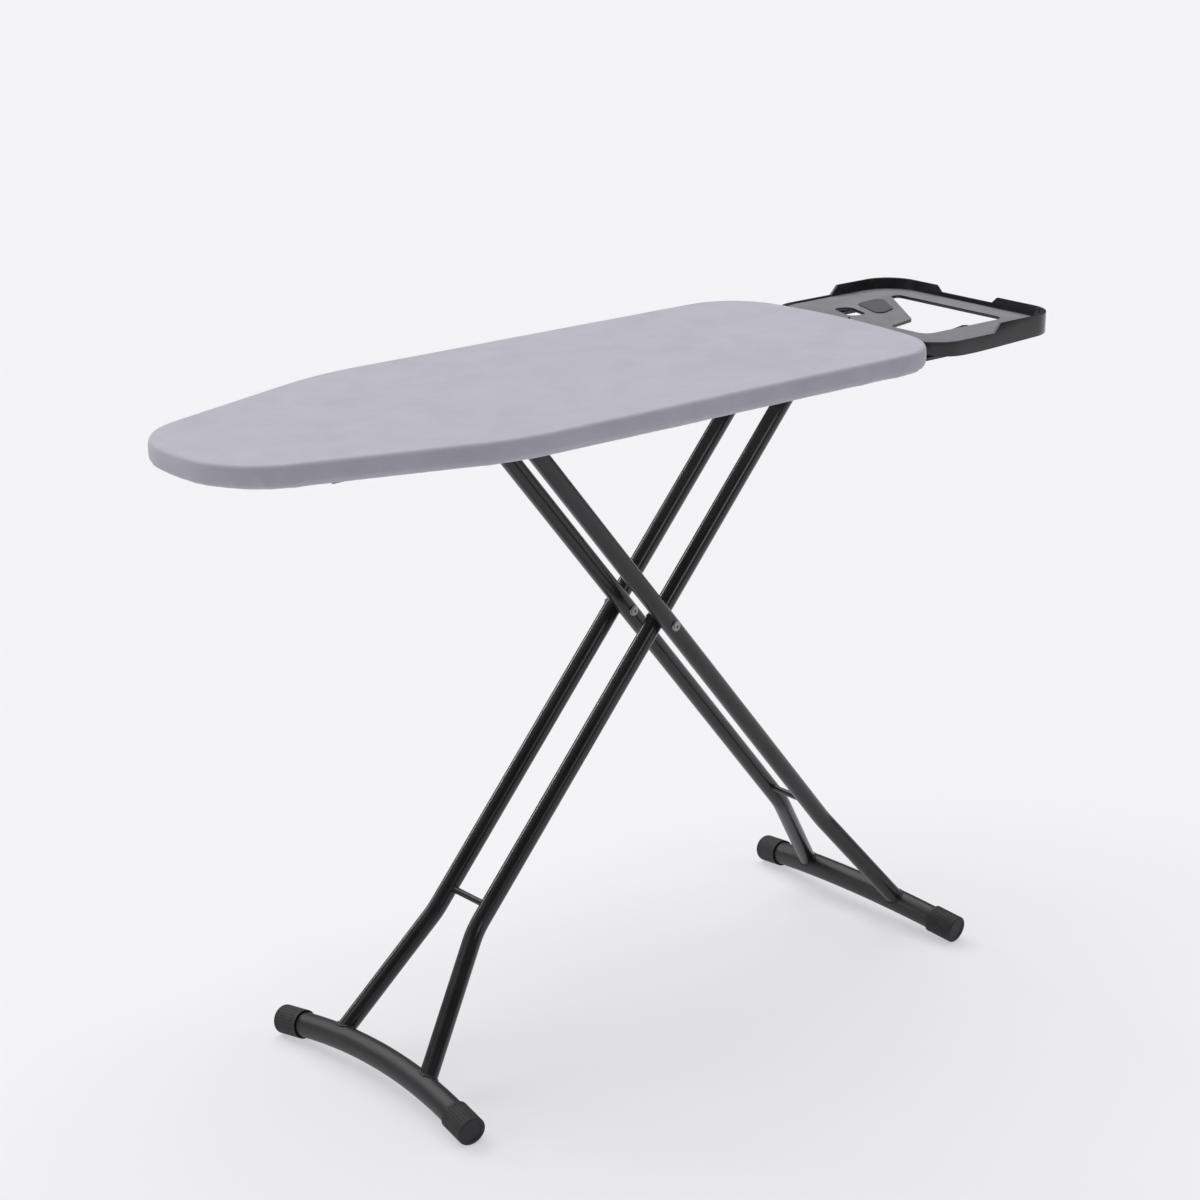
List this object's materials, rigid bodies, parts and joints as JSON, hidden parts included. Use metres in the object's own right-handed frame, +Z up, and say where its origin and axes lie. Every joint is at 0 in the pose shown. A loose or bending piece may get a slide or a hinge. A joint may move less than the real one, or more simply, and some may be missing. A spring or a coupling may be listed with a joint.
{
  "type": "ironing board",
  "caption": "Folding ironing board: padded deck under a grey cloth cover, crossing legs of paired steel tubes on arched feet, and an open black iron rest at the tail.",
  "frame": {"origin": "on the floor under the middle of the whole object's box", "axes": "+X from the nose to the iron rest, +Z up, the board standing open"},
  "size_m": [1.208, 0.376, 0.8],
  "materials": {
    "cover_cloth": "plain weave cotton, matt",
    "cord": "braided cord",
    "foam": "foam and felt",
    "black_plastic": "satin moulded",
    "grey_silicone": "matt silicone",
    "cap_rubber": "matt ribbed",
    "zinc_steel": "zinc plated",
    "rivet_steel": "bright",
    "top_steel": "light grey paint",
    "black_powder_coat": "satin powder coat"
  },
  "bodies": {
    "deck": {"cover": "cover_cloth", "cover_cord": "cord", "foam_pad": "foam", "steel_top": "top_steel", "deck_frame": "black_powder_coat", "brace_nose": "black_powder_coat", "brace_middle": "black_powder_coat", "brace_pivot": "black_powder_coat", "brace_tail": "black_powder_coat", "guide_rail_right": "black_powder_coat", "guide_rail_left": "black_powder_coat", "pivot_bracket_right": "black_powder_coat", "pivot_bracket_left": "black_powder_coat", "rail_rivets": "zinc_steel", "iron_rest": "black_plastic", "iron_rest_pad": "grey_silicone", "rest_bar_right": "black_powder_coat", "rest_bar_left": "black_powder_coat", "rest_spacers": "zinc_steel", "rest_screws": "zinc_steel", "lock_pin": "zinc_steel", "lock_spring": "zinc_steel"},
    "front_leg": {"front_tube_right": "black_powder_coat", "front_tube_left": "black_powder_coat", "front_crossbar": "black_powder_coat", "front_foot_tube": "black_powder_coat", "front_foot_cap_right": "cap_rubber", "front_foot_cap_left": "cap_rubber", "front_tube_plugs": "black_plastic", "front_axle": "zinc_steel", "front_axle_sleeves": "black_plastic", "front_axle_nuts": "zinc_steel"},
    "rear_leg": {"rear_tube_right": "black_powder_coat", "rear_tube_left": "black_powder_coat", "rear_crossbar": "black_powder_coat", "rear_foot_tube": "black_powder_coat", "rear_foot_cap_right": "cap_rubber", "rear_foot_cap_left": "cap_rubber", "rear_tube_plugs": "black_plastic", "rear_axle": "zinc_steel", "rear_axle_bushes": "black_plastic", "rear_axle_nuts": "zinc_steel", "crossing_rivet_right": "rivet_steel", "crossing_rivet_left": "rivet_steel", "crossing_washers": "black_plastic"},
    "height_lock": {"lock_plate": "zinc_steel", "release_rod": "zinc_steel", "release_grip": "black_plastic"}
  },
  "joints": [
    {"name": "fold", "type": "hinge", "parent": "deck", "child": "front_leg", "pos_m": [0.27743, 0, 0.764], "axis": [0, 1, 0], "range_deg": [0, 47.34]},
    {"name": "crossing", "type": "hinge", "parent": "front_leg", "child": "rear_leg", "pos_m": [0.037, 0, 0.488], "axis": [0, 1, 0], "range_deg": [-96.2, 0]},
    {"name": "lock_lift", "type": "hinge", "parent": "deck", "child": "height_lock", "pos_m": [-0.102, 0, 0.7635], "axis": [0, 1, 0], "range_deg": [-3.5, 0], "stiffness_Nm_per_rad": 4, "springref_deg": 11.46}
  ],
  "couplings": [
    {"joint": "crossing", "follows": "fold", "ratio": -2.0307}
  ]
}
